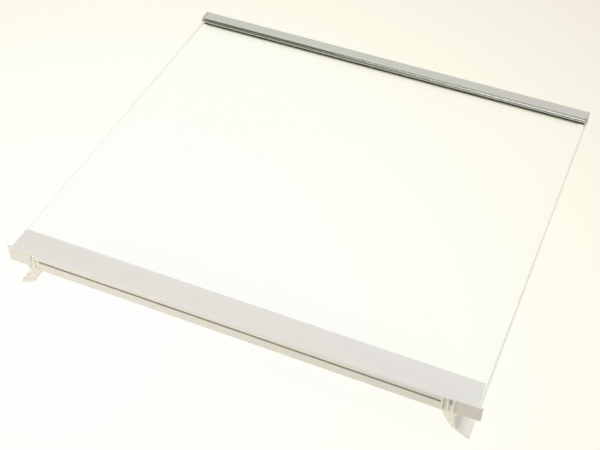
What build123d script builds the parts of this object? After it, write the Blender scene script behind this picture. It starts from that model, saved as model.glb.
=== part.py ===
from build123d import *
from math import radians, tan
import os

# Refrigerator glass shelf: a glass plate held by an aluminium front trim and a moulded rear trim.
# X runs to the right and Y to the back, as seen from the open door, and Z is up.
# The origin is the centre of the glass plate's top face. Millimetres.

# Glass plate
glass_width = 440.0
glass_depth = 398.0
glass_thickness = 4.0
glass_corner_radius = 3.0
glass_edge_flat = 0.4

# Clearances: round glass edge to wall, under the glass, end cap plug in its chamber
edge_gap = 0.3
seat_gap = 0.15
plug_gap = 0.2

# Front trim, an extruded profile that clasps the front edge of the glass
front_wall = 1.5
front_rise = 5.8
front_top_width = 12.4
front_skirt_drop = 8.2
front_lip_thickness = 1.6
front_lip_reach = 13.4
front_edge_radius = 1.0
bead_radius = 1.8
bead_overhang = 2.05
bead_lift = 0.2
groove_depth = 1.0
groove_height = 0.7
chamber_wall = 1.2

# End caps of the front trim
cap_length = 3.2
cap_bevel = 0.4
plug_length = 8.0

# Rear trim, a moulding that clasps the rear edge of the glass
rear_wall = 3.3
rear_wall_drop = 14.7
rear_nose_radius = 3.0
flange_thickness = 2.0
flange_reach = 27.5
flange_inset = 2.5
rear_edge_radius = 0.8
jaw_thickness = 2.0
jaw_reach = 22.0

# Long groove in the rear wall
slot_half_length = 188.4
slot_top = -2.6
slot_height = 2.4
slot_depth = 2.7

# Upright ribs between the groove and each end block, with a pocket in the outermost gap
rib_width = 1.7
rib_gap = 3.1
rib_gap_count = 2
rib_gap_depth = 1.4
rib_gap_top = 1.3
pocket_depth = 2.1
pocket_drop = 6.5

# End blocks of the rear wall, set back behind the ribs
block_setback = 1.4
block_overhang = 2.6
block_corner_radius = 2.6

# Hook leg under each end block
web_thickness = 2.3
web_foot_x = 202.8
web_foot_drop = 35.5
web_lean_deg = 9.0
web_inset = 1.6
web_root_radius = 5.0
hook_depth = 20.0
wing_reach = 12.4
wing_fall = 8.4
wing_thickness = 3.6
wing_inset = 4.3
wing_edge_radius = 0.8
wing_toe_radius = 1.2
gusset_thickness = 2.2
gusset_reach = 12.0
gusset_bow = 2.0

# Planes and levels that the pieces share
glass_front = -glass_depth / 2
glass_rear = glass_depth / 2
glass_side = glass_width / 2
glass_edge_radius = (glass_thickness - glass_edge_flat) / 2
seat = -glass_thickness - seat_gap
front_face = glass_front - edge_gap - front_wall
front_rim_back = front_face + front_top_width
chamber_front = front_face + front_wall
chamber_back = front_rim_back - groove_depth - chamber_wall
chamber_top = front_rise - chamber_wall
cap_start = glass_side - cap_length
rear_inner_face = glass_rear + edge_gap
rear_face = rear_inner_face + rear_wall
flange_front = rear_face - flange_reach
flange_end = glass_side - flange_inset
rib_pitch = rib_width + rib_gap
block_start = slot_half_length + rib_width + rib_gap_count * rib_pitch
block_end = glass_side + block_overhang
block_face = rear_face - block_setback
overrun = 1.0


def rectangle(left, right, low, high):
    """A rectangle between its four sides."""
    return Pos((left + right) / 2, (low + high) / 2) * Rectangle(right - left, high - low)


def outline(*points):
    """A face inside a ring of straight lines."""
    return make_face(Polyline(*points, close=True))


def rounded(sketch, corner, radius):
    """The sketch with the corner nearest to a point rounded."""
    return fillet(sketch.vertices().sort_by_distance((*corner, 0))[0], radius)


def along_x(sketch, start, end):
    """A sketch drawn in Y and Z, extruded along X."""
    return extrude(Plane.YZ.offset(start) * sketch, amount=end - start)


def along_y(sketch, start, end):
    """A sketch drawn in X and Z, extruded along Y."""
    return extrude(Plane.XZ.offset(-end) * sketch, amount=end - start)


def glass_plate():
    """Toughened glass with rounded corners and a ground edge all round."""
    plate = Pos(0, 0, -glass_thickness / 2) * Box(glass_width, glass_depth, glass_thickness)
    plate = fillet(plate.edges().filter_by(Axis.Z), glass_corner_radius)
    faces = plate.faces().sort_by(Axis.Z)
    return fillet(faces[0].edges() + faces[-1].edges(), glass_edge_radius)


def front_profile():
    """Outer section of the front trim: rim with a groove and a round bead, wall and lip."""
    rim = rectangle(front_face, front_rim_back, 0, front_rise)
    rim = rounded(rim, (front_face, front_rise), front_edge_radius)
    wall = rectangle(front_face, chamber_front, -front_skirt_drop, chamber_wall)
    lip = rectangle(front_face, front_face + front_lip_reach, seat - front_lip_thickness, seat)
    bead_top = bead_lift + 2 * bead_radius
    bead_middle = front_rim_back + bead_overhang - bead_radius
    bead = Pos(bead_middle, bead_lift + bead_radius) * Circle(bead_radius)
    groove_bottom = front_rim_back - groove_depth
    groove = rectangle(groove_bottom, front_rim_back + overrun, bead_top, bead_top + groove_height)
    return rim + wall + lip + bead - groove


def front_trim():
    """The profile, hollow, between the two end caps."""
    chamber = rectangle(chamber_front, chamber_back, chamber_wall, chamber_top)
    return along_x(front_profile() - chamber, -cap_start, cap_start)


def end_cap():
    """Right-hand cap: ends flush with the glass and plugs into the chamber of the front trim."""
    cap = along_x(front_profile(), cap_start, glass_side)
    cap = chamfer(cap.faces().sort_by(Axis.X)[-1].edges(), cap_bevel)
    plug = rectangle(chamber_front + plug_gap, chamber_back - plug_gap,
                     chamber_wall + plug_gap, chamber_top - plug_gap)
    return cap + along_x(plug, cap_start - plug_length, cap_start)


def rear_section():
    """Section of the rear trim: flange on the glass, wall behind it and jaw under it."""
    flange = rectangle(flange_front, rear_face, 0, flange_thickness)
    wall = rectangle(rear_inner_face, rear_face, -rear_wall_drop, flange_thickness)
    jaw = rectangle(rear_face - jaw_reach, rear_face, seat - jaw_thickness, seat)
    section = flange + wall + jaw
    section = rounded(section, (rear_face, flange_thickness), rear_nose_radius)
    section = rounded(section, (flange_front, flange_thickness), rear_edge_radius)
    return rounded(section, (rear_face, -rear_wall_drop), rear_edge_radius)


def rear_plan():
    """Outline of the rear trim from above: the rounded end blocks stand out past the flange."""
    plan = rectangle(-block_end, block_end, flange_front, block_face)
    for end in (-block_end, block_end):
        plan = rounded(plan, (end, block_face), block_corner_radius)
    plan += rectangle(-block_start, block_start, flange_front, rear_face)
    beside = rectangle(flange_end, block_end + overrun, flange_front - overrun, rear_inner_face)
    return plan - beside - mirror(beside, Plane.YZ)


def rear_rail():
    """The section cut to the plan, with the long groove and the gaps between the ribs."""
    height = rear_wall_drop + flange_thickness + 2 * overrun
    plan = extrude(Pos(0, 0, -rear_wall_drop - overrun) * rear_plan(), amount=height)
    rail = along_x(rear_section(), -block_end, block_end) & plan
    slot = rectangle(rear_face - slot_depth, rear_face + overrun, slot_top - slot_height, slot_top)
    gaps = rib_gaps()
    return rail - along_x(slot, -slot_half_length, slot_half_length) - gaps - mirror(gaps, Plane.YZ)


def rib_gaps():
    """Gaps between the upright ribs at the right-hand end, the outermost with a pocket in its upper half."""
    starts = [slot_half_length + rib_width + index * rib_pitch for index in range(rib_gap_count)]
    gaps = [rectangle(start, start + rib_gap, -rear_wall_drop - overrun, rib_gap_top) for start in starts]
    pocket = rectangle(starts[-1], starts[-1] + rib_gap, -pocket_drop, rib_gap_top)
    cuts = along_y(Sketch() + gaps, rear_face - rib_gap_depth, rear_face + overrun)
    return cuts + along_y(pocket, rear_face - pocket_depth, rear_face + overrun)


def hook_leg():
    """Right-hand leg: a leaning web, a wing that falls outwards from its foot and a curved gusset."""
    half = web_thickness / 2
    root = seat - jaw_thickness / 2
    lean = tan(radians(web_lean_deg))
    root_x = web_foot_x - (web_foot_drop + root) * lean
    wall_x = web_foot_x - (web_foot_drop - rear_wall_drop) * lean
    web_top = [(root_x - half, root), (root_x + half, root)]
    outer_foot = (web_foot_x + half, -web_foot_drop)
    inner_foot = (web_foot_x - half, -web_foot_drop)
    heel = (web_foot_x - half, -web_foot_drop - wing_thickness)
    wing_tip = (outer_foot[0] + wing_reach, outer_foot[1] - wing_fall)
    wing_toe = (wing_tip[0], wing_tip[1] - wing_thickness)
    wing_face = rear_face - wing_inset
    web_face = rear_face - web_inset

    hook = outline(*web_top, outer_foot, wing_tip, wing_toe, heel)
    hook = rounded(hook, outer_foot, wing_edge_radius)
    hook = rounded(hook, wing_tip, wing_edge_radius)
    hook = rounded(hook, wing_toe, wing_toe_radius)
    leg = along_y(hook, web_face - hook_depth, wing_face)

    web = outline(*web_top, outer_foot, inner_foot)
    leg += along_y(web, wing_face, rear_inner_face)

    flare = half + 2 * web_root_radius
    strip = rectangle(wall_x - flare, wall_x + flare, -rear_wall_drop, root)
    post = web + strip
    for side in (-half, half):
        post = rounded(post, (wall_x + side, -rear_wall_drop), web_root_radius)
    leg += along_y(post - strip, rear_inner_face, web_face)

    gusset_top = (root_x - gusset_reach, root)
    edge = SagittaArc(inner_foot, gusset_top, gusset_bow)
    gusset = make_face(edge + Polyline(gusset_top, web_top[0], outer_foot, inner_foot))
    return leg + along_y(gusset, web_face - gusset_thickness, web_face)


def rear_trim():
    """One moulding: rail and a hook leg under each end."""
    leg = hook_leg()
    return rear_rail() + leg + mirror(leg, Plane.YZ)


os.makedirs("parts", exist_ok=True)
export_step(glass_plate(), "parts/glass_plate.step")
export_step(front_trim(), "parts/front_trim.step")
export_step(end_cap(), "parts/end_cap_right.step")
export_step(mirror(end_cap(), Plane.YZ), "parts/end_cap_left.step")
export_step(rear_trim(), "parts/rear_trim.step")
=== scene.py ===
"""Refrigerator glass shelf: finishes for its pieces, and a floor, light and camera to show it.

Left and right are as the camera sees the shelf, from behind, so left is towards +X. Only the
names of the end caps go by the view from the open door. All lengths are in metres.
"""

from math import atan2, radians

import bpy
from bpy.props import FloatProperty, FloatVectorProperty, PointerProperty
from mathutils import Matrix, Vector


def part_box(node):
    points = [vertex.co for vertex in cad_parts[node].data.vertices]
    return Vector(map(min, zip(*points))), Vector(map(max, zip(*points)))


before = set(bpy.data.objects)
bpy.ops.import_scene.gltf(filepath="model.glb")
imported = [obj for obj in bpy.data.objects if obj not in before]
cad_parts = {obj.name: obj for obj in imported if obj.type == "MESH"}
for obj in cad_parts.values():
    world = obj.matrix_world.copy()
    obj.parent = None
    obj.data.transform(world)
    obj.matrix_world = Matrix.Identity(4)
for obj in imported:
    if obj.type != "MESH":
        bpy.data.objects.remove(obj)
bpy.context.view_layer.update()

bl_info = {
    "name": "Glass Shelf",
    "version": (1, 0, 0),
    "blender": (4, 5, 0),
    "location": "3D View > Sidebar > Shelf",
    "description": "Finishes, floor, light and camera for a refrigerator glass shelf",
    "category": "Material",
}

GLASS_LOW, GLASS_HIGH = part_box("glass_plate")
TRIM_LOW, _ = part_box("front_trim")
_, REAR_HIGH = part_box("rear_trim")

# Limits that leave a direction open
FAR = 1.0
ANY = (-FAR, FAR)

# Ground edge of the glass, in shares of its width: how much wider it is on the left, its soft
# border, its solid part at the front, what that gains at the rear, the part that thins out,
# and how far in the glass lets inside rays pass
EDGE_WIDER_LEFT = 0.8
EDGE_BORDER = 0.2
EDGE_SOLID = 0.55
EDGE_SOLID_GAIN = 0.35
EDGE_THINNING = 0.6
EDGE_CLEAR_INSIDE = 4.0

# Stretches of the ground edge: its solid part grows and its left-hand side fades from front to
# rear, and its upper face turns into its side from the first height to the second
EDGE_GROWS = (-0.1, 0.2)
EDGE_FADES = (-0.17, 0.03)
EDGE_TURNS = (-0.0008, -0.0014)

# Front trim: depths from its front face, heights above the glass, and stretches across
# Painted highlight along the rear edge of the top strip: from this depth, and above this height
RIM_DEPTH = 0.0105
RIM_FOOT = 0.0046
# Painted light in the groove above the bead: its depth from the front face, its heights, and the
# stretch across in which it grows towards the right
GROOVE_DEPTH = 0.0113
GROOVE_HEIGHTS = (0.00375, 0.00455)
GROOVE_BRIGHTENS = (0.07, 0.02)
# Where the trim meets the glass, coloured dark so that it shows as the dark line under the bead:
# its depth from the front face, its top, and how far it reaches below the glass
CHANNEL_DEPTH = 0.0012
CHANNEL_TOP = 0.0001
CHANNEL_SLACK = 0.0003
METAL_CHANGES = (-0.09, -0.19)

# Places on the rail of the rear trim where shade or light is painted into the colour: name,
# colour, how much of the colour shows, and limits across, in depth from the rear face and in
# height
GAP_LIMITS = ((0.0003, 0.0031), (-0.0148, 0.0014))
RAIL_PLACES = (
    # Painted shade inside the long groove
    ("groove", "groove_shade", 1.0, (-0.1884, 0.1884), (0.0006, 0.0032), (-0.0051, -0.0025)),
    # Painted shade in the right-hand pocket
    ("right_pocket", "recess_shade", 1.0, (-0.198, -0.1949), (0.0016, 0.0031), (-0.0065, 0.0013)),
    # Painted shade on the right-hand end block, cloudy
    ("right_block", "end_shade", 0.85, (-FAR, -0.1998), (-FAR, 0.0018), (-0.0146, FAR)),
    # Painted shade on the right-hand lip, growing towards the right end
    ("right_lip", "end_shade", 0.6, ANY, (-FAR, 0.0008), (-0.0026, 0.0008)),
    # Painted light in the left-hand gaps
    ("left_gaps", "pale", 1.0, (0.19, 0.1981), *GAP_LIMITS),
    # Painted shade in the right-hand gap
    ("right_gap", "recess_shade", 0.35, (-0.1933, -0.19), *GAP_LIMITS),
    # Painted light on the right-hand ribs
    ("right_ribs", "pale", 0.5, (-0.2, -0.1883), (-FAR, 0.0002), ANY),
)
# Stretch across in which the painted shade on the right-hand lip grows
LIP_DARKENS = (-0.08, -0.18)

# Hook legs of the rear trim: the outer side of the right-hand web leans away from where it
# would meet the top of the glass
LEG_TOP = -0.0148
WEB_LEAN = 0.15838
WEB_AT_GLASS = 0.19833
WEB_REACH = 0.003
# Share of painted shade on the outer side of the right-hand web
WEB_SHADE = 0.4
# Rear face of the right-hand wing, which gets painted light
WING_FACE = ((-FAR, -0.204), (0.004, 0.0046), (-FAR, -0.036))
# Painted light on the gusset face and its share of the pale colour, and the normal below which
# faces of the left-hand leg count as facing inward and get it too
GUSSET_FACE = ((-FAR, 0.0), (-FAR, 0.0018), (-FAR, LEG_TOP))
GUSSET_GLOW = 0.5
FACING_INWARD = -0.25

# Stage: the floor, the middle of the light on it, and how near a point is to touch it
FLOOR_REACH = 12.0
POOL_X, POOL_Y = 0.15, 0.06
TOUCH = 0.0002

# Headings in which the mirrored room grows dark, towards the rear and there towards the left
ROOM_REAR = (-0.35, 0.05)
ROOM_LEFT = (0.12, 0.34)

# Lamps: name, place, point that it faces, width and length, and the setting for its power
OVERHEAD = ((-0.02, -0.1, 1.5), (0.0, 0.0, 0.0), (0.5, 0.5), "box")
LAMPS = (
    ("key_lamp", (0.9, 0.9, 0.5), (0.22, 0.2, 0.0), (0.6, 0.6), "key"),
    ("side_lamp", (-0.62, 0.08, 1.12), (-0.15, 0.1, 0.0), (0.5, 0.5), "side"),
    ("overhead_lamp", *OVERHEAD),
    ("metal_lamp", *OVERHEAD),
    ("bead_lamp", (-0.02, 0.2, 1.3), (-0.05, -0.19, 0.0), (0.34, 0.3), "gleam"),
)
METAL_LAMPS = ("metal_lamp", "bead_lamp")
METAL_PIECES = ("front_trim", "end_cap_left", "end_cap_right")


class Wire:
    """A shader socket that Python expressions can work with."""

    def __init__(self, finish, socket):
        self.finish = finish
        self.socket = socket

    def maths(self, operation, first, second):
        return self.finish.node("ShaderNodeMath", {"operation": operation}, {0: first, 1: second})

    def __add__(self, other):
        return self.maths("ADD", self, other)

    def __radd__(self, other):
        return self.maths("ADD", other, self)

    def __sub__(self, other):
        return self.maths("SUBTRACT", self, other)

    def __rsub__(self, other):
        return self.maths("SUBTRACT", other, self)

    def __mul__(self, other):
        return self.maths("MULTIPLY", self, other)

    def __rmul__(self, other):
        return self.maths("MULTIPLY", other, self)

    def __truediv__(self, other):
        return self.maths("DIVIDE", self, other)

    def __rtruediv__(self, other):
        return self.maths("DIVIDE", other, self)

    def __gt__(self, other):
        return self.maths("GREATER_THAN", self, other)

    def __lt__(self, other):
        return self.maths("LESS_THAN", self, other)

    def __or__(self, other):
        return self.maths("MAXIMUM", self, other)

    def __and__(self, other):
        return self.maths("MINIMUM", self, other)

    def __abs__(self):
        return self.maths("ABSOLUTE", self, 0.0)

    def held(self):
        """The value kept between 0 and 1."""
        return (self | 0.0) & 1.0

    def ramp(self, start, end):
        """0 at the start, 1 at the end and even in between."""
        return ((self - start) / (end - start)).held()

    def between(self, low, high):
        """1 between two limits, otherwise 0."""
        return (self > low) * (self < high)

    def around(self, middle, spread):
        """A middle value that this noise varies by up to half the spread."""
        return middle + spread * (self - 0.5)


class Finish:
    """The node tree of a material or a world."""

    def __init__(self, owner):
        owner.use_nodes = True
        self.tree = owner.node_tree
        self.tree.nodes.clear()

    def node(self, kind, settings=None, inputs=None, output=0):
        """Adds a node, sets it up, feeds its sockets and gives one of its outputs."""
        node = self.tree.nodes.new(kind)
        settings = dict(settings or {})
        stops = settings.pop("stops", ())
        for name, value in settings.items():
            setattr(node, name, value)
        for index, (place, tone) in enumerate(stops):
            ramp = node.color_ramp.elements
            stop = ramp[index] if index < 2 else ramp.new(place)
            stop.position = place
            stop.color = (*tone, 1.0)
        for name, value in (inputs or {}).items():
            socket = self.entry(node, name)
            if isinstance(value, Wire):
                self.tree.links.new(value.socket, socket)
            elif socket.type == "RGBA":
                socket.default_value = (*value, 1.0)
            else:
                socket.default_value = value
        return Wire(self, node.outputs[output])

    def entry(self, node, name):
        """A node's input by number, identifier or name."""
        if isinstance(name, int):
            return node.inputs[name]
        for socket in node.inputs:
            if socket.identifier == name:
                return socket
        return node.inputs[name]

    def axis(self, vector, number):
        """The part of a vector along X, Y or Z, numbered from 0."""
        return self.node("ShaderNodeSeparateXYZ", None, {0: vector}, number)

    def place(self):
        """The point on the piece, in metres, as X, Y and Z."""
        point = self.node("ShaderNodeTexCoord", output="Object")
        return [self.axis(point, number) for number in range(3)]

    def grain(self, scale, detail=3.0, roughness=0.5):
        """Cloudy noise over the piece, finer along an axis with a larger scale."""
        point = self.node("ShaderNodeTexCoord", output="Object")
        stretched = self.node("ShaderNodeVectorMath", {"operation": "MULTIPLY"},
                              {0: point, 1: scale})
        return self.node("ShaderNodeTexNoise", None, {
            "Vector": stretched, "Scale": 1.0, "Detail": detail, "Roughness": roughness,
        })

    def blend(self, factor, first, second):
        """A colour between two colours."""
        return self.node("ShaderNodeMix", {"data_type": "RGBA"},
                         {"Factor_Float": factor, "A_Color": first, "B_Color": second}, 2)

    def scaled(self, tone, brightness):
        """A colour made brighter or darker."""
        return self.node("ShaderNodeVectorMath", {"operation": "SCALE"},
                         {0: tone, "Scale": brightness})

    def relief(self, height, depth, strength):
        """Surface normals for a height of 0 to 1 that stands for a depth in metres."""
        return self.node("ShaderNodeBump", None,
                         {"Strength": strength, "Distance": depth, "Height": height})

    def principled(self, **inputs):
        """The common shader, its sockets named with underscores for spaces."""
        named = {name.replace("_", " "): value for name, value in inputs.items()}
        return self.node("ShaderNodeBsdfPrincipled", None, named)

    def mix(self, factor, first, second):
        """A shader between two shaders."""
        return self.node("ShaderNodeMixShader", None, {0: factor, 1: first, 2: second})

    def surface(self, shader):
        """Connects the finished shader."""
        world = isinstance(self.tree.id_data, bpy.types.World)
        kind = "ShaderNodeOutputWorld" if world else "ShaderNodeOutputMaterial"
        output = self.tree.nodes.new(kind)
        self.tree.links.new(shader.socket, output.inputs["Surface"])


def finish_for(name, *nodes):
    """A new material, put on the named nodes of the frame."""
    material = bpy.data.materials.new(name)
    for node in nodes:
        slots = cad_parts[node].data.materials
        slots.clear()
        slots.append(material)
    return Finish(material)


def within(place, limits):
    """1 inside a box, given by its limits along three axes, otherwise 0."""
    first, second, third = (value.between(*pair) for value, pair in zip(place, limits))
    return first * second * third


def colour(name, description, default):
    """A colour property."""
    return FloatVectorProperty(name=name, description=description, default=default,
                               subtype="COLOR", min=0.0, max=1.0)


def share(name, description, default):
    """A property from 0 to 1."""
    return FloatProperty(name=name, description=description, default=default,
                         subtype="FACTOR", min=0.0, max=1.0)


def length(name, description, default):
    """A property in metres."""
    return FloatProperty(name=name, description=description, default=default,
                         subtype="DISTANCE", unit="LENGTH", precision=5)


def position(name, description, default):
    """A place, in metres."""
    return FloatVectorProperty(name=name, description=description, default=default,
                               subtype="TRANSLATION", unit="LENGTH")


def power(name, description, default):
    """A lamp's power, in watts."""
    return FloatProperty(name=name, description=description, default=default,
                         unit="POWER", min=0.0)


def angle(name, description, default):
    """An angle property, given in degrees."""
    return FloatProperty(name=name, description=description, default=radians(default),
                         subtype="ANGLE", unit="ROTATION")


class GlassSettings(bpy.types.PropertyGroup):
    """Look of the glass plate."""
    tint: colour("Tint", "Colour of what is seen through the plate", (0.985, 0.995, 0.985))
    smear: share("Smear", "Roughness left by wiping the flat faces", 0.012)
    edge_tint: colour("Edge tint", "Colour of the ground edge", (0.84, 0.83, 0.775))
    edge_width: length("Edge width", "Width of the ground band along each side", 0.0018)
    edge_cover: share("Edge cover", "How much of the ground edge is frosted over", 0.55)
    edge_slant: FloatProperty(
        name="Edge slant", description="Cover lost per metre towards the left", default=1.1)
    edge_fade: share("Edge fade", "Share of its cover that the left-hand edge loses", 0.7)
    edge_wear: share("Edge wear", "Spread of the cover along the edge", 0.06)
    inner_cover: share("Inner cover", "Cover of the left-hand edge seen from inside", 0.3)


class FrontTrimSettings(bpy.types.PropertyGroup):
    """Look of the front trim and its end caps."""
    metal: colour("Metal", "Colour of the anodised aluminium", (0.604, 0.618, 0.552))
    metal_end: colour("Metal end", "Colour of the aluminium at the right", (0.618, 0.595, 0.555))
    bead_end: colour("Bead end", "Colour of the bead at the right", (0.585, 0.62, 0.60))
    satin: share("Satin roughness", "Roughness of the brushed faces", 0.34)
    polish: share("Bead roughness", "Roughness of the polished bead", 0.25)
    top_width: length("Top width", "Width of the brushed strip on top", 0.0124)
    bead_height: length("Bead height", "Height of the bead above the glass", 0.0038)
    # Painted light: the groove above the bead is coloured paler and less metallic towards the
    # right
    groove: colour("Groove", "Colour of the lightened groove above the bead", (0.78, 0.80, 0.78))
    # Dark colour where the trim meets the glass; it shows as the dark line under the bead
    channel_dark: colour("Dark_channel", "Colour of the darkening that meets the glass", (0.135, 0.12, 0.085))
    cap: colour("End caps", "Colour of the silvery end caps", (0.60, 0.59, 0.54))


class RearTrimSettings(bpy.types.PropertyGroup):
    """Look of the rear trim."""
    plastic: colour("Plastic", "Colour of the white moulding", (0.80, 0.785, 0.755))
    shade: colour("Shade", "Colour of the faint clouds in the plastic", (0.78, 0.765, 0.735))
    roughness: share("Roughness", "Roughness of the moulded surface", 0.38)
    # Painted shade: the inside of the long groove is coloured darker, where shade falls
    groove_shade: colour("Shaded_groove", "Colour of the shading in the long groove", (0.52, 0.47, 0.39))
    # Painted shade: the right-hand pocket and gap are coloured darker, where shade falls
    recess_shade: colour("Shaded_recess", "Colour of the dirt in the right-hand pocket", (0.60, 0.56, 0.51))
    # Painted shade: darkens the right-hand end block, the lip near it and the outer side of the
    # right-hand web, where less light falls
    end_shade: colour("Shaded_end", "Colour of the shaded right-hand end block", (0.69, 0.655, 0.65))
    # Painted light: lighter colours for the hook legs, the right-hand one lighter still
    thin: colour("Thin", "Colour of the thin left-hand leg, lit through", (0.85, 0.835, 0.79))
    thin_end: colour("Thin end", "Colour of the thin right-hand leg", (0.93, 0.905, 0.85))
    # Painted light: the rear face of the right-hand wing is coloured lighter
    wing: colour("Wing", "Colour of the rear face of the right-hand wing", (0.86, 0.86, 0.88))
    # Painted light: lightens the left-hand gaps, the right-hand ribs, the inward faces of the
    # left-hand leg and the gusset
    pale: colour("Pale", "Colour of thin edges that light shines through", (0.98, 0.965, 0.92))


class StageSettings(bpy.types.PropertyGroup):
    """Floor, light and camera."""
    floor: colour("Floor", "Colour of the floor in the middle of the light", (1.0, 1.0, 0.995))
    floor_mid: colour("Floor middle", "Colour of the floor some way off", (1.0, 0.998, 0.925))
    floor_far: colour("Floor far", "Colour of the floor further away", (0.995, 0.97, 0.84))
    floor_end: colour("Floor end", "Colour of the floor outside the light", (0.885, 0.84, 0.75))
    glow: share("Glow", "Part of the floor's brightness that carries no shadow", 0.95)
    fill: share("Fill", "Part of the floor's light that reaches the shelf from below", 0.38)
    bounce: colour("Bounce", "Colour of the light that the floor throws back", (1.0, 0.97, 0.80))
    sky: FloatProperty(name="Sky", description="Strength of the even light", default=0.52, min=0.0)
    sky_tint: colour("Sky tint", "Colour of the even light", (1.0, 1.0, 0.99))
    room: colour("Room", "Colour of the room in front, as mirrored", (0.98, 0.98, 0.97))
    room_rear: colour("Room rear", "Colour of the room at the rear", (0.34, 0.33, 0.31))
    room_left: colour("Room left", "Colour of the room at the rear left", (0.20, 0.19, 0.17))
    key: power("Key lamp", "Power of the warm lamp at the left", 0.55)
    key_tint: colour("Key tint", "Colour of the warm lamp", (1.0, 0.93, 0.78))
    key_spread: angle("Key spread", "Spread of the warm lamp's beam", 40.0)
    side: power("Side lamp", "Power of the lamp at the right", 5.2)
    box: power("Overhead lamp", "Power of the soft box overhead", 0.7)
    gleam: power("Bead lamp", "Power of the lamp that shines on the bead", 1.95)
    eye: position("Camera", "Place of the camera", (-0.27542, 0.73424, 0.71734))
    aim: position("Aim", "Point that the camera looks at", (-0.00815, 0.06748, 0.0))
    roll: angle("Roll", "Turn of the camera about its own line of sight", 1.529)
    lens: FloatProperty(name="Lens", description="Focal length", default=65.80,
                        subtype="DISTANCE_CAMERA", unit="CAMERA")


class SHELF_OT_glass(bpy.types.Operator):
    """Give the plate clear glass with a ground edge"""
    bl_idname = "shelf.glass"
    bl_label = "Glass Plate"

    def execute(self, context):
        look = context.scene.shelf_glass
        finish = finish_for("clear_glass", "glass_plate")
        wiped = finish.grain((9.0, 14.0, 9.0), 4.0)
        clear = finish.principled(Base_Color=look.tint, Roughness=wiped * look.smear,
                                  IOR=1.52, Transmission_Weight=1.0)
        zone, edge = self.ground_edge(finish, look, wiped)
        finish.surface(finish.mix(zone, clear, edge))
        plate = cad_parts["glass_plate"]
        plate.visible_shadow = False
        plate.visible_diffuse = False
        return {"FINISHED"}

    def ground_edge(self, finish, look, wiped):
        """Where the edge is ground, and its shader: partly frosted, and open to inside rays."""
        x, y, z = finish.place()
        width = look.edge_width
        inset = (GLASS_HIGH.x - abs(x)) & (GLASS_HIGH.y - abs(y))
        left = x > 0.0
        inside = finish.node("ShaderNodeNewGeometry", output="Backfacing")
        band = width * (1.0 + EDGE_WIDER_LEFT * left)
        ground = ((band - inset) / (EDGE_BORDER * width) + 1.0).held()
        zone = ground | inside * (inset < EDGE_CLEAR_INSIDE * width)

        solid = width * (EDGE_SOLID + EDGE_SOLID_GAIN * y.ramp(*EDGE_GROWS))
        thinning = (1.0 - (inset - solid) / (EDGE_THINNING * width)).held()
        fade = 1.0 - look.edge_fade * left * y.ramp(*EDGE_FADES)
        upper = fade * (wiped.around(look.edge_cover, look.edge_wear) - look.edge_slant * x)
        side = (look.edge_cover + look.edge_slant * GLASS_HIGH.x) * z.ramp(*EDGE_TURNS)
        outer = thinning * (upper | side).held()
        inner = fade * look.inner_cover * left * (inset < width)
        cover = (1 - inside) * outer + inside * inner

        grit = finish.grain((2600.0, 2600.0, 2600.0), 2.0)
        frosted = finish.principled(Base_Color=look.edge_tint, Roughness=0.7 + 0.2 * grit,
                                    Specular_IOR_Level=0.0,
                                    Normal=finish.relief(grit, 0.00002, 0.05))
        through = finish.node("ShaderNodeBsdfTransparent", None, {"Color": look.tint})
        return zone, finish.mix(cover, through, frosted)


class SHELF_OT_front_trim(bpy.types.Operator):
    """Give the front trim satin aluminium with a polished bead, and its caps silvery plastic"""
    bl_idname = "shelf.front_trim"
    bl_label = "Front Trim"

    def execute(self, context):
        look = context.scene.shelf_front_trim
        self.dress_profile(look)
        self.dress_caps(look)
        return {"FINISHED"}

    def dress_profile(self, look):
        """Brushed faces, a polished bead under a groove with painted light towards the right, a
        painted highlight along the rear edge of the top, and a dark colour where the trim meets
        the glass.
        """
        finish = finish_for("satin_aluminium", "front_trim")
        x, y, z = finish.place()
        depth = y - TRIM_LOW.y
        bead = (depth > look.top_width) * z.between(CHANNEL_TOP, look.bead_height)
        # The faces where the trim meets the glass get a dark, dull colour
        in_channel = (depth > CHANNEL_DEPTH) * z.between(GLASS_LOW.z - CHANNEL_SLACK, CHANNEL_TOP)
        # Painted light in the groove, growing towards the right
        groove = (depth > GROOVE_DEPTH) * z.between(*GROOVE_HEIGHTS) * x.ramp(*GROOVE_BRIGHTENS)
        # Painted highlight: the rear edge of the top strip is made brighter
        rim_highlight = (depth > RIM_DEPTH) * (z > RIM_FOOT)

        streak = finish.grain((6.0, 3800.0, 3800.0), 3.0, 0.6)
        cloud = finish.grain((14.0, 40.0, 40.0), 2.0)
        drift = (x - 0.06 * cloud).ramp(*METAL_CHANGES)
        end = finish.blend(bead, look.metal_end, look.bead_end)
        brightness = 0.92 + 0.10 * streak + 0.06 * cloud + 0.07 * rim_highlight
        metal = finish.scaled(finish.blend(drift, look.metal, end), brightness)
        metal = finish.blend(groove, metal, look.groove)
        roughness = (1 - bead) * streak.around(look.satin, 0.14) + bead * look.polish
        finish.surface(finish.principled(
            Base_Color=finish.blend(in_channel, metal, look.channel_dark),
            Metallic=1 - (in_channel | 0.8 * groove),
            Roughness=roughness | 0.6 * in_channel,
            Normal=finish.relief(streak * (1 - bead), 0.00002, 0.35),
        ))

    def dress_caps(self, look):
        """Finely grained plastic with a silvery look."""
        finish = finish_for("silvery_plastic", "end_cap_left", "end_cap_right")
        grit = finish.grain((1500.0, 1500.0, 1500.0), 2.0)
        cloud = finish.grain((120.0, 120.0, 120.0), 3.0)
        finish.surface(finish.principled(
            Base_Color=finish.scaled(look.cap, 0.94 + 0.12 * cloud),
            Metallic=0.5,
            Roughness=0.36 + 0.12 * grit,
            Normal=finish.relief(grit, 0.00004, 0.3),
        ))


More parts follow.
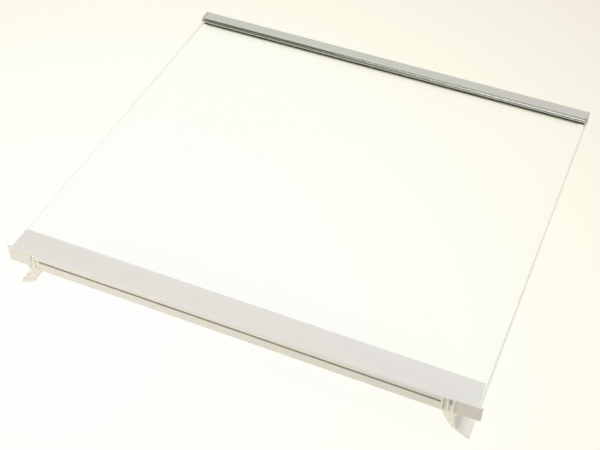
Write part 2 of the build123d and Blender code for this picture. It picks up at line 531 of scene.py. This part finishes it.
class SHELF_OT_rear_trim(bpy.types.Operator):
    """Give the rear trim white moulded plastic"""
    bl_idname = "shelf.rear_trim"
    bl_label = "Rear Trim"

    def execute(self, context):
        look = context.scene.shelf_rear_trim
        finish = finish_for("white_plastic", "rear_trim")
        x, y, z = finish.place()
        place = (x, REAR_HIGH.y - y, z)
        cloud = finish.grain((22.0, 60.0, 60.0), 4.0, 0.6)
        grit = finish.grain((1400.0, 1400.0, 1400.0), 3.0)
        flow = finish.grain((30.0, 260.0, 260.0), 2.0)
        tone = finish.blend(((cloud - 0.45) * 3.0).held(), look.plastic, look.shade)
        tone = self.paint_rail(finish, look, place, cloud, tone)
        tone = self.paint_legs(finish, look, place, cloud, tone)
        finish.surface(finish.principled(
            Base_Color=tone,
            Roughness=grit.around(look.roughness, 0.14) + flow.around(0.0, 0.08),
            Normal=finish.relief(0.7 * grit + 0.3 * flow, 0.00004, 0.3),
        ))
        return {"FINISHED"}

    def paint_rail(self, finish, look, place, cloud, tone):
        """The tone with painted shade in the groove, the right-hand pocket and gap and on the
        right-hand block and lip, and with painted light in the left-hand gaps and on the
        right-hand ribs.
        """
        for name, paint, amount, *limits in RAIL_PLACES:
            if name == "right_block":
                amount = cloud.around(amount, 0.3)
            elif name == "right_lip":
                amount = amount * place[0].ramp(*LIP_DARKENS)
            tone = finish.blend(amount * within(place, limits), tone, getattr(look, paint))
        return tone

    def paint_legs(self, finish, look, place, cloud, tone):
        """The tone with painted light on the legs, on the rear face of the right-hand wing, on the
        inward faces of the left-hand leg and on the gusset, and with painted shade on the outer
        side of the right-hand web.
        """
        x, _, z = place
        leg = z < LEG_TOP
        web = (1 - abs(WEB_LEAN * z - x - WEB_AT_GLASS) / WEB_REACH).held()
        # Painted light: the legs, apart from the right-hand web, are coloured lighter
        thin = finish.blend(x < 0.0, look.thin, look.thin_end)
        tone = finish.blend(leg * (1 - web) * cloud.around(0.8, 0.4), tone, thin)
        # Painted shade on the outer side of the right-hand web, under the block
        tone = finish.blend(WEB_SHADE * leg * web, tone, look.end_shade)
        # Painted light on the rear face of the right-hand wing
        tone = finish.blend(within(place, WING_FACE), tone, look.wing)
        # Painted light on the inward faces of the left-hand leg and on the gusset
        normal = finish.node("ShaderNodeNewGeometry", output="Normal")
        lit_inner_side = leg * (x > 0.0) * (finish.axis(normal, 0) < FACING_INWARD)
        return finish.blend(lit_inner_side | GUSSET_GLOW * within(place, GUSSET_FACE), tone, look.pale)


def lowest_line(node):
    """How far forward a node's lowest points reach, and their height."""
    points = [vertex.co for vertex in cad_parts[node].data.vertices]
    low = min(point.z for point in points)
    return min(point.y for point in points if point.z < low + TOUCH), low


class SHELF_OT_stage(bpy.types.Operator):
    """Lay the floor, light it and set up the camera"""
    bl_idname = "shelf.stage"
    bl_label = "Stage"

    def execute(self, context):
        look = context.scene.shelf_stage
        self.paint_floor(self.lay_floor(context), look)
        self.light_room(context, look)
        self.hang_lamps(context, look)
        self.set_camera(context, look)
        context.scene.view_settings.view_transform = "Standard"
        return {"FINISHED"}

    def seen(self, finish):
        """1 for the camera and for what metal and glass show, otherwise 0."""
        rays = [finish.node("ShaderNodeLightPath", output=name)
                for name in ("Is Camera Ray", "Is Glossy Ray", "Is Transmission Ray")]
        return rays[0] | rays[1] | rays[2]

    def lay_floor(self, context):
        """A wide floor that the front trim and the hook legs touch."""
        front_y, front_z = lowest_line("front_trim")
        rear_y, rear_z = lowest_line("rear_trim")
        slope = atan2(front_z - rear_z, rear_y - front_y)
        mesh = bpy.data.meshes.new("floor")
        sides = ((-1, -1), (1, -1), (1, 1), (-1, 1))
        corners = [(FLOOR_REACH * x, FLOOR_REACH * y, 0) for x, y in sides]
        mesh.from_pydata(corners, [], [(0, 1, 2, 3)])
        floor = bpy.data.objects.new("floor", mesh)
        context.scene.collection.objects.link(floor)
        tilt = Matrix.Rotation(-slope, 4, "X")
        floor.matrix_world = Matrix.Translation((0, rear_y, rear_z)) @ tilt
        return floor

    def paint_floor(self, floor, look):
        """A pale floor that grows warmer and darker away from the middle of the light."""
        material = bpy.data.materials.new("pale_floor")
        floor.data.materials.append(material)
        finish = Finish(material)
        x, y, _ = finish.place()
        away_x, away_y = x - POOL_X, y - POOL_Y
        away = finish.node("ShaderNodeMath", {"operation": "SQRT"},
                           {0: away_x * away_x + away_y * away_y})
        tone = finish.node("ShaderNodeValToRGB", {"stops": [
            (0.08, look.floor), (0.72, look.floor_end),
            (0.36, look.floor_mid), (0.50, look.floor_far),
        ]}, {0: away})
        thrown = finish.node("ShaderNodeVectorMath", {"operation": "MULTIPLY"},
                             {0: tone, 1: look.bounce})
        plain = finish.node("ShaderNodeBsdfDiffuse", None, {"Color": thrown})
        seen = self.seen(finish)
        bright = finish.node("ShaderNodeEmission", None,
                             {"Color": finish.blend(seen, thrown, tone), "Strength": 1.0})
        glow = seen * look.glow + (1 - seen) * look.fill
        finish.surface(finish.mix(glow, plain, bright))

    def light_room(self, context, look):
        """An even sky, a plain backdrop, and for metal and glass a room with a dark rear."""
        world = bpy.data.worlds.new("studio")
        context.scene.world = world
        finish = Finish(world)
        heading = finish.node("ShaderNodeTexCoord", output="Generated")
        left = finish.axis(heading, 0).ramp(*ROOM_LEFT)
        rear = finish.axis(heading, 1).ramp(*ROOM_REAR)
        room = finish.blend(rear, look.room, finish.blend(left, look.room_rear, look.room_left))
        even, backdrop, mirrored = (
            finish.node("ShaderNodeBackground", None, {"Color": tone, "Strength": strength})
            for tone, strength in ((look.sky_tint, look.sky), (look.floor_end, 1.0), (room, 1.0))
        )
        glossy = finish.node("ShaderNodeLightPath", output="Is Glossy Ray")
        plain = finish.mix(self.seen(finish), even, backdrop)
        finish.surface(finish.mix(glossy, plain, mirrored))

    def hang_lamps(self, context, look):
        """All lamps. Two of them shine on the metal alone, which shows them as highlights."""
        lamps = {name: self.lamp(context, name, place, aim, size, getattr(look, setting))
                 for name, place, aim, size, setting in LAMPS}
        key = lamps["key_lamp"].data
        key.color = look.key_tint
        key.spread = look.key_spread
        metal = bpy.data.collections.new("metal")
        for name in METAL_PIECES:
            metal.objects.link(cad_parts[name])
        for name in METAL_LAMPS:
            lamps[name].visible_glossy = True
            lamps[name].visible_diffuse = False
            lamps[name].light_linking.receiver_collection = metal

    def lamp(self, context, name, place, aim, size, energy):
        """A lamp that faces a point and that metal and glass don't show."""
        data = bpy.data.lights.new(name, "AREA")
        data.energy = energy
        data.shape = "RECTANGLE"
        data.size, data.size_y = size
        lamp = bpy.data.objects.new(name, data)
        lamp.location = place
        lamp.rotation_euler = (Vector(aim) - Vector(place)).to_track_quat("-Z", "Y").to_euler()
        lamp.visible_glossy = False
        lamp.visible_transmission = False
        context.scene.collection.objects.link(lamp)
        return lamp

    def set_camera(self, context, look):
        """A camera behind the shelf, looking down on it."""
        data = bpy.data.cameras.new("camera")
        data.lens = look.lens
        data.sensor_width = 36.0
        camera = bpy.data.objects.new("camera", data)
        camera.location = look.eye
        sight = Vector(look.aim) - Vector(look.eye)
        turn = sight.to_track_quat("-Z", "Y").to_matrix() @ Matrix.Rotation(look.roll, 3, "Z")
        camera.rotation_euler = turn.to_euler()
        context.scene.collection.objects.link(camera)
        context.scene.camera = camera


class SHELF_PT_sidebar(bpy.types.Panel):
    """The shelf's operators and their settings"""
    bl_label = "Glass Shelf"
    bl_space_type = "VIEW_3D"
    bl_region_type = "UI"
    bl_category = "Shelf"

    def draw(self, context):
        for operator, group in STEPS:
            settings = getattr(context.scene, group)
            box = self.layout.box()
            box.operator(operator.bl_idname)
            for name in settings.bl_rna.properties.keys():
                if name not in ("rna_type", "name"):
                    box.prop(settings, name)


GROUPS = {
    "shelf_glass": GlassSettings,
    "shelf_front_trim": FrontTrimSettings,
    "shelf_rear_trim": RearTrimSettings,
    "shelf_stage": StageSettings,
}
STEPS = (
    (SHELF_OT_glass, "shelf_glass"),
    (SHELF_OT_front_trim, "shelf_front_trim"),
    (SHELF_OT_rear_trim, "shelf_rear_trim"),
    (SHELF_OT_stage, "shelf_stage"),
)
CLASSES = (*GROUPS.values(), *(operator for operator, _ in STEPS), SHELF_PT_sidebar)


def register():
    for cls in CLASSES:
        bpy.utils.register_class(cls)
    for name, group in GROUPS.items():
        setattr(bpy.types.Scene, name, PointerProperty(type=group))


def unregister():
    for name in GROUPS:
        delattr(bpy.types.Scene, name)
    for cls in reversed(CLASSES):
        bpy.utils.unregister_class(cls)


def main():
    """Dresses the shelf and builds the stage."""
    register()
    bpy.ops.shelf.glass()
    bpy.ops.shelf.front_trim()
    bpy.ops.shelf.rear_trim()
    bpy.ops.shelf.stage()


if __name__ == "__main__":
    main()
